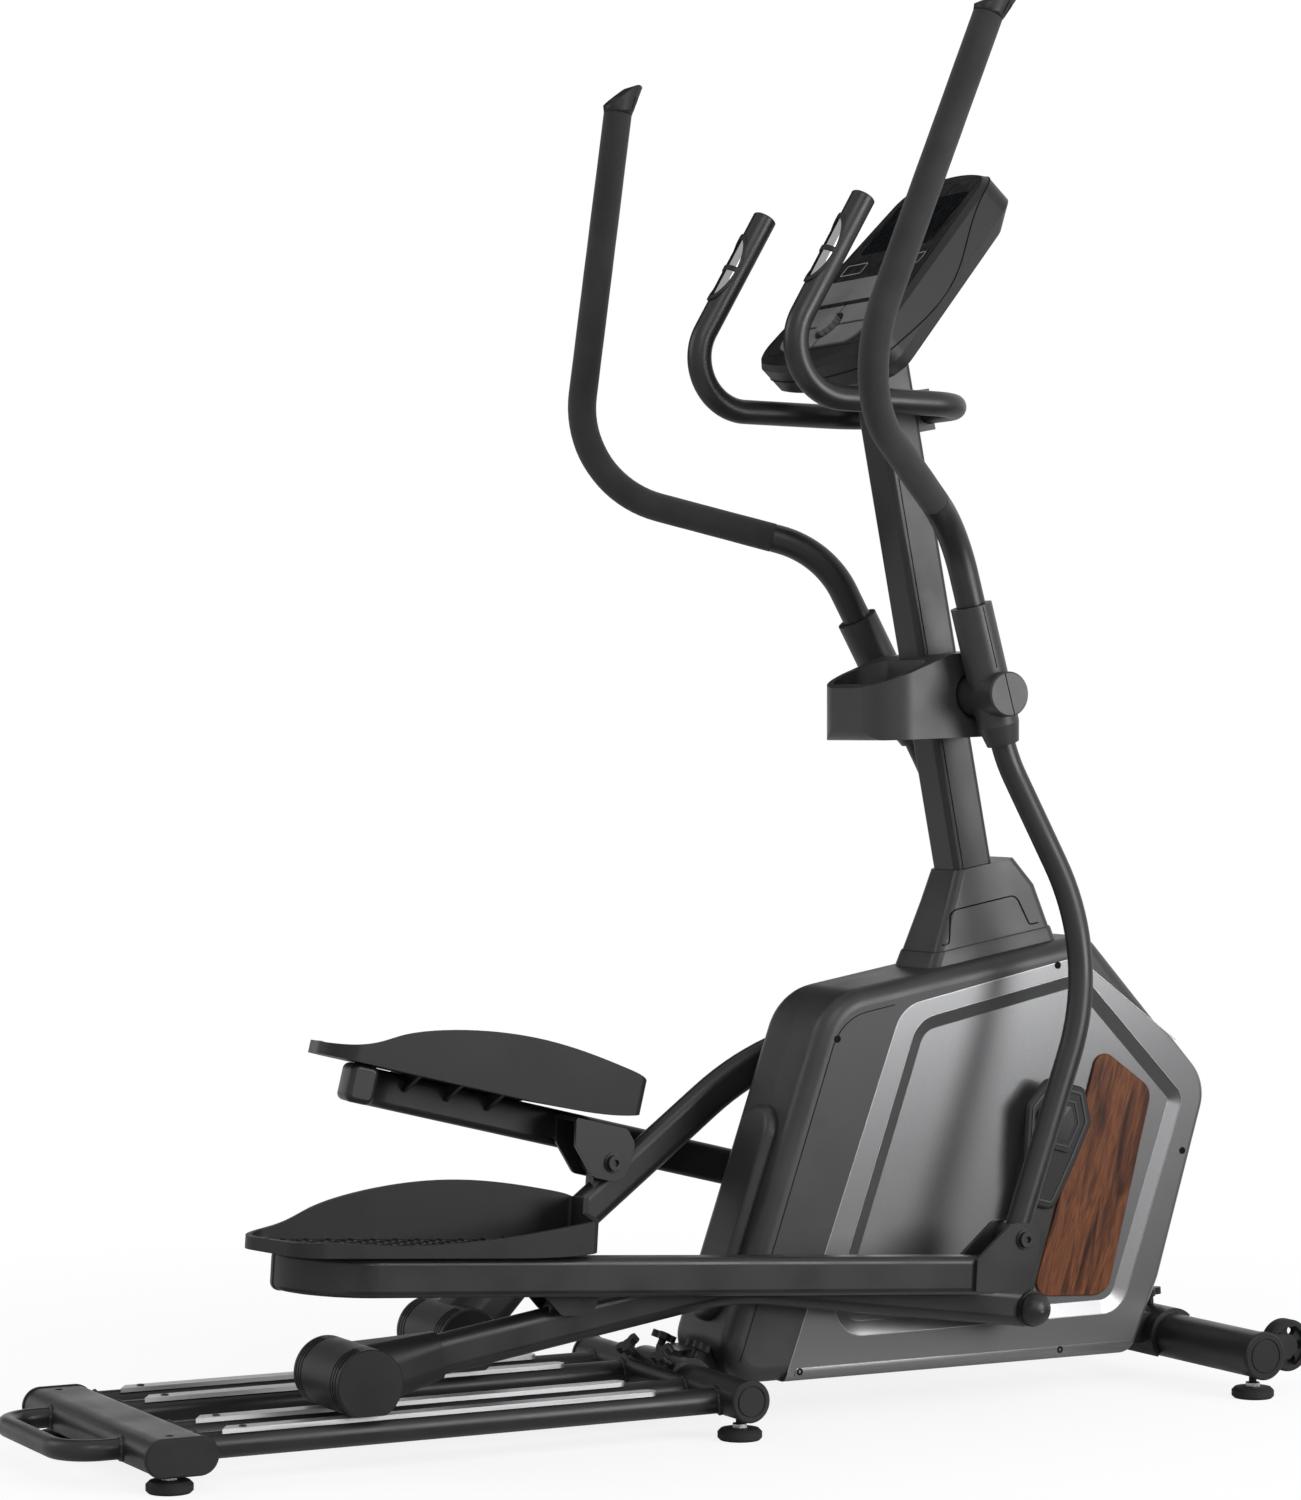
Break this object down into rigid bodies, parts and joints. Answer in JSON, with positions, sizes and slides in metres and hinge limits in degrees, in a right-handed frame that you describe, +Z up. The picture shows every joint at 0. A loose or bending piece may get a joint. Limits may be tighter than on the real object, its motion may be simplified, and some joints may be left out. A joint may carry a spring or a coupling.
{
  "type": "elliptical trainer",
  "caption": "Elliptical trainer with a front drive housing, swinging handles, footplates on rolling pedal arms, guide rails, a pulse bar and a console.",
  "frame": {"origin": "middle of the bounding box on the floor", "axes": "+X forward towards the drive housing, +Y to the user's left, +Z up"},
  "size_m": [1.7, 0.638, 1.7849],
  "materials": {
    "black_metal": "satin powder coat",
    "steel": "machined",
    "bolts": "zinc plated",
    "dark_plastic": "fine grain",
    "black_plastic": "fine grain",
    "satin_panel": "satin metallic paint",
    "wood": "lacquered walnut veneer",
    "aluminium": "extruded",
    "rubber": "matt",
    "foam": "closed-cell foam",
    "chrome": "polished",
    "window": "dark gloss",
    "grey_plastic": "satin",
    "iron": "painted"
  },
  "bodies": {
    "frame": {"bottle_tray": "black_plastic", "brake_motor": "black_plastic", "clamp_knobs": "black_plastic", "console_back": "black_plastic", "console_front": "black_plastic", "crank_bearings": "steel", "display_window": "window", "drive_belt": "rubber", "front_stabiliser": "black_metal", "main_frame": "black_metal", "mast": "black_metal", "mast_boot": "dark_plastic", "pulse_handlebar": "black_metal", "pulse_sensors": "chrome", "rail_frame": "black_metal", "rear_cover": "dark_plastic", "running_strips": "aluminium", "side_cover_left": "dark_plastic", "side_cover_right": "dark_plastic", "side_panels": "satin_panel", "stabiliser_caps": "black_plastic", "swing_axle": "steel", "wood_inlays": "wood"},
    "crank": {"crank_axle": "steel", "drive_pulley": "black_plastic", "crank_arms": "black_metal", "crank_covers": "black_plastic"},
    "flywheel": {"flywheel": "iron"},
    "brake": {"brake_arm": "aluminium"},
    "dial": {"console_dial": "grey_plastic"},
    "key_1": {"console_key_1": "grey_plastic"},
    "key_2": {"console_key_2": "grey_plastic"},
    "key_3": {"console_key_3": "grey_plastic"},
    "key_4": {"console_key_4": "grey_plastic"},
    "swing_right": {"swing_hub_right": "black_plastic", "upper_handle_right": "black_metal", "grip_right": "foam", "lower_arm_right": "black_metal"},
    "pedal_link_right": {"pedal_arm_right": "black_metal", "pedal_right": "black_plastic"},
    "roller_link_right": {"roller_arm_right": "black_metal", "roller_shroud_right": "black_plastic"},
    "rollers_right": {"roller_wheels_right": "rubber"},
    "carrier_right": {"transport_wheel_right": "rubber"},
    "foot_rear_right": {"foot_rear_right": "rubber"},
    "foot_mid_right": {"foot_mid_right": "rubber"},
    "foot_front_right": {"foot_front_right": "rubber"},
    "swing_left": {"swing_hub_left": "black_plastic", "upper_handle_left": "black_metal", "grip_left": "foam", "lower_arm_left": "black_metal"},
    "pedal_link_left": {"pedal_arm_left": "black_metal", "pedal_left": "black_plastic"},
    "roller_link_left": {"roller_arm_left": "black_metal", "roller_shroud_left": "black_plastic"},
    "rollers_left": {"roller_wheels_left": "rubber"},
    "carrier_left": {"transport_wheel_left": "rubber"},
    "foot_rear_left": {"foot_rear_left": "rubber"},
    "foot_mid_left": {"foot_mid_left": "rubber"},
    "foot_front_left": {"foot_front_left": "rubber"}
  },
  "joints": [
    {"name": "crank_spin", "type": "hinge", "parent": "frame", "child": "crank", "pos_m": [0.53, 0, 0.349], "axis": [0, 1, 0], "continuous": true},
    {"name": "flywheel_spin", "type": "hinge", "parent": "frame", "child": "flywheel", "pos_m": [0.625, 0, 0.215], "axis": [0, 1, 0], "continuous": true},
    {"name": "brake_swing", "type": "hinge", "parent": "frame", "child": "brake", "pos_m": [0.541, -0.04, 0.131], "axis": [0, 1, 0], "range_deg": [-8, 0]},
    {"name": "swing_right_turn", "type": "hinge", "parent": "frame", "child": "swing_right", "pos_m": [0.418, 0, 0.916], "axis": [0, 1, 0], "range_deg": [-25.5, 11.5]},
    {"name": "pedal_right_turn", "type": "hinge", "parent": "swing_right", "child": "pedal_link_right", "pos_m": [0.41059, 0, 0.22404], "axis": [0, 1, 0], "range_deg": [-11.1, 24.4]},
    {"name": "roller_arm_right_turn", "type": "hinge", "parent": "pedal_link_right", "child": "roller_link_right", "pos_m": [-0.19414, 0, 0.1848], "axis": [0, 1, 0], "range_deg": [-2.2, 4.7]},
    {"name": "rollers_right_spin", "type": "hinge", "parent": "roller_link_right", "child": "rollers_right", "pos_m": [-0.48755, 0, 0.1038], "axis": [0, 1, 0], "continuous": true},
    {"name": "swing_left_turn", "type": "hinge", "parent": "frame", "child": "swing_left", "pos_m": [0.418, 0, 0.916], "axis": [0, 1, 0], "range_deg": [-11.6, 25.6]},
    {"name": "pedal_left_turn", "type": "hinge", "parent": "swing_left", "child": "pedal_link_left", "pos_m": [0.5814, 0, 0.24357], "axis": [0, 1, 0], "range_deg": [-18.8, 8.5]},
    {"name": "roller_arm_left_turn", "type": "hinge", "parent": "pedal_link_left", "child": "roller_link_left", "pos_m": [-0.02044, 0, 0.31438], "axis": [0, 1, 0], "range_deg": [-6.9, 3.2]},
    {"name": "rollers_left_spin", "type": "hinge", "parent": "roller_link_left", "child": "rollers_left", "pos_m": [-0.24023, 0, 0.1038], "axis": [0, 1, 0], "continuous": true},
    {"name": "carrier_right_spin", "type": "hinge", "parent": "frame", "child": "carrier_right", "pos_m": [0.816, -0.212, 0.062], "axis": [0, 1, 0], "continuous": true},
    {"name": "foot_rear_right_turn", "type": "hinge", "parent": "frame", "child": "foot_rear_right", "pos_m": [-0.736, -0.185, 0], "axis": [0, 0, 1], "continuous": true},
    {"name": "foot_mid_right_turn", "type": "hinge", "parent": "frame", "child": "foot_mid_right", "pos_m": [0.008, -0.188, 0], "axis": [0, 0, 1], "continuous": true},
    {"name": "foot_front_right_turn", "type": "hinge", "parent": "frame", "child": "foot_front_right", "pos_m": [0.752, -0.228, 0], "axis": [0, 0, 1], "continuous": true},
    {"name": "carrier_left_spin", "type": "hinge", "parent": "frame", "child": "carrier_left", "pos_m": [0.816, 0.212, 0.062], "axis": [0, 1, 0], "continuous": true},
    {"name": "foot_rear_left_turn", "type": "hinge", "parent": "frame", "child": "foot_rear_left", "pos_m": [-0.736, 0.185, 0], "axis": [0, 0, 1], "continuous": true},
    {"name": "foot_mid_left_turn", "type": "hinge", "parent": "frame", "child": "foot_mid_left", "pos_m": [0.008, 0.188, 0], "axis": [0, 0, 1], "continuous": true},
    {"name": "foot_front_left_turn", "type": "hinge", "parent": "frame", "child": "foot_front_left", "pos_m": [0.752, 0.228, 0], "axis": [0, 0, 1], "continuous": true},
    {"name": "dial_turn", "type": "hinge", "parent": "frame", "child": "dial", "pos_m": [0.24745, 0, 1.39199], "axis": [-0.7408, 0, 0.6717], "continuous": true},
    {"name": "key_1_press", "type": "slide", "parent": "frame", "child": "key_1", "axis": [0.7408, 0, -0.6717], "range_m": [0, 0.0015], "stiffness_N_per_m": 400},
    {"name": "key_2_press", "type": "slide", "parent": "frame", "child": "key_2", "axis": [0.7408, 0, -0.6717], "range_m": [0, 0.0015], "stiffness_N_per_m": 400},
    {"name": "key_3_press", "type": "slide", "parent": "frame", "child": "key_3", "axis": [0.7408, 0, -0.6717], "range_m": [0, 0.0015], "stiffness_N_per_m": 400},
    {"name": "key_4_press", "type": "slide", "parent": "frame", "child": "key_4", "axis": [0.7408, 0, -0.6717], "range_m": [0, 0.0015], "stiffness_N_per_m": 400}
  ],
  "couplings": [
    {"joint": "pedal_right_turn", "follows": "swing_right_turn", "ratio": -0.95},
    {"joint": "roller_arm_right_turn", "follows": "swing_right_turn", "ratio": -0.178},
    {"joint": "swing_left_turn", "follows": "swing_right_turn", "ratio": -1},
    {"joint": "pedal_left_turn", "follows": "swing_right_turn", "ratio": 0.73},
    {"joint": "roller_arm_left_turn", "follows": "swing_right_turn", "ratio": 0.266},
    {"joint": "flywheel_spin", "follows": "crank_spin", "ratio": 6.25}
  ]
}
